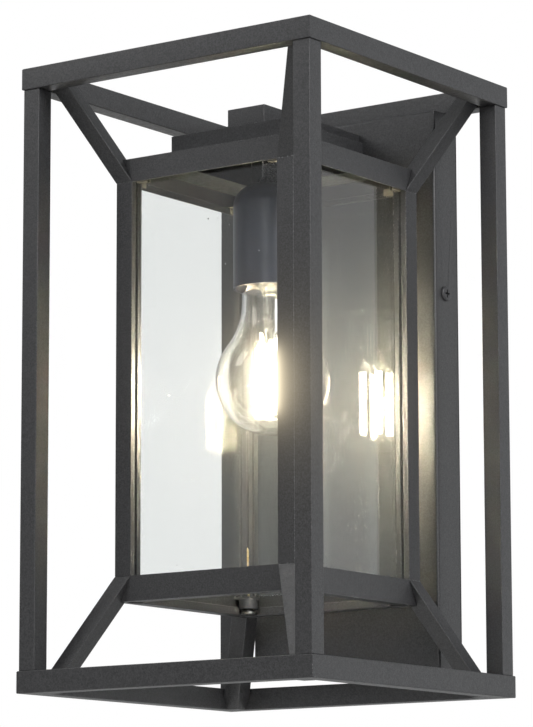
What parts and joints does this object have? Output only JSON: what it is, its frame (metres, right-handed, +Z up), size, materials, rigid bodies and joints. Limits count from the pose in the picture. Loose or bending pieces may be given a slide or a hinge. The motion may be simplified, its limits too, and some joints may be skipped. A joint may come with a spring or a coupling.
{
  "type": "outdoor wall lantern",
  "caption": "Box-frame outdoor wall lantern: an open square cage round a glazed lantern with a stepped hood, hung from a tall wall box, with a clear screw-in bulb.",
  "frame": {"origin": "centre of the mounting bracket's screw pattern, on the wall plane", "axes": "+Z up, +Y into the wall, so the lantern stands out along -Y; +X to the right seen from the room"},
  "size_m": [0.19, 0.19, 0.337],
  "materials": {
    "charcoal_powder": "fine sand-textured powder coat",
    "blue_black_enamel": "smooth satin enamel",
    "clear_glass": "clear polished",
    "bulb_clear_glass": "clear thin blown glass",
    "white_ceramic": "glazed porcelain",
    "brass": "bright",
    "zinc_plate": "bright zinc",
    "yellow_zinc": "yellow passivated",
    "cap_nickel": "nickel-plated sheet",
    "solder": "dull solder with black glass ring",
    "lit_filament": "glowing phosphor sticks",
    "tan_silicone": "soft translucent",
    "black_foam": "closed-cell foam",
    "galvanised_steel": "galvanised, faint spangle",
    "black_screw": "satin",
    "green_screw": "green passivated",
    "black_insulation": "satin",
    "white_insulation": "satin",
    "bare_copper": "bare drawn copper",
    "tan_plastic": "ribbed moulding",
    "black_plastic": "moulded"
  },
  "bodies": {
    "root": {"cage_top_front_rail": "charcoal_powder", "cage_bottom_front_rail": "charcoal_powder", "front_pane": "clear_glass", "cage_top_right_rail": "charcoal_powder", "cage_bottom_right_rail": "charcoal_powder", "right_pane": "clear_glass", "cage_top_back_rail": "charcoal_powder", "cage_bottom_back_rail": "charcoal_powder", "back_pane": "clear_glass", "cage_top_left_rail": "charcoal_powder", "cage_bottom_left_rail": "charcoal_powder", "left_pane": "clear_glass", "cage_front_left_post": "charcoal_powder", "lantern_front_left_post": "charcoal_powder", "top_front_left_strut": "charcoal_powder", "bottom_front_left_strut": "charcoal_powder", "cage_front_right_post": "charcoal_powder", "lantern_front_right_post": "charcoal_powder", "top_front_right_strut": "charcoal_powder", "bottom_front_right_strut": "charcoal_powder", "cage_back_right_post": "charcoal_powder", "lantern_back_right_post": "charcoal_powder", "top_back_right_strut": "charcoal_powder", "bottom_back_right_strut": "charcoal_powder", "cage_back_left_post": "charcoal_powder", "lantern_back_left_post": "charcoal_powder", "top_back_left_strut": "charcoal_powder", "bottom_back_left_strut": "charcoal_powder", "hood": "charcoal_powder", "tray": "charcoal_powder", "tray_spacers": "charcoal_powder", "hanging_arm": "charcoal_powder", "wall_box": "charcoal_powder", "socket_cup": "blue_black_enamel", "lamp_holder": "white_ceramic", "screw_shell": "brass", "centre_contact": "brass", "threaded_nipple": "zinc_plate", "nipple_locknuts": "zinc_plate", "star_washer": "zinc_plate", "hood_screws": "yellow_zinc", "tray_screws": "yellow_zinc", "glass_clips": "tan_silicone", "wall_gasket": "black_foam", "mounting_bracket": "galvanised_steel", "side_screws": "black_screw", "ground_screw": "green_screw", "live_lead": "black_insulation", "neutral_lead": "white_insulation", "ground_lead": "bare_copper", "wire_connectors": "tan_plastic", "lead_bushing": "black_plastic"},
    "bulb_tip": {"bulb_contact": "solder"},
    "bulb": {"bulb_glass": "bulb_clear_glass", "bulb_cap": "cap_nickel", "bulb_stem": "bulb_clear_glass", "bulb_filaments": "lit_filament"}
  },
  "joints": [
    {"name": "bulb_feed", "type": "slide", "parent": "root", "child": "bulb_tip", "axis": [0, 0, -1], "range_m": [0, 0.0218]},
    {"name": "bulb_turn", "type": "hinge", "parent": "bulb_tip", "child": "bulb", "pos_m": [0, -0.091, -0.0225], "axis": [0, 0, -1], "range_deg": [0, 2160]}
  ],
  "couplings": [
    {"joint": "bulb_feed", "follows": "bulb_turn", "m_per_rad": 0.00057773}
  ]
}
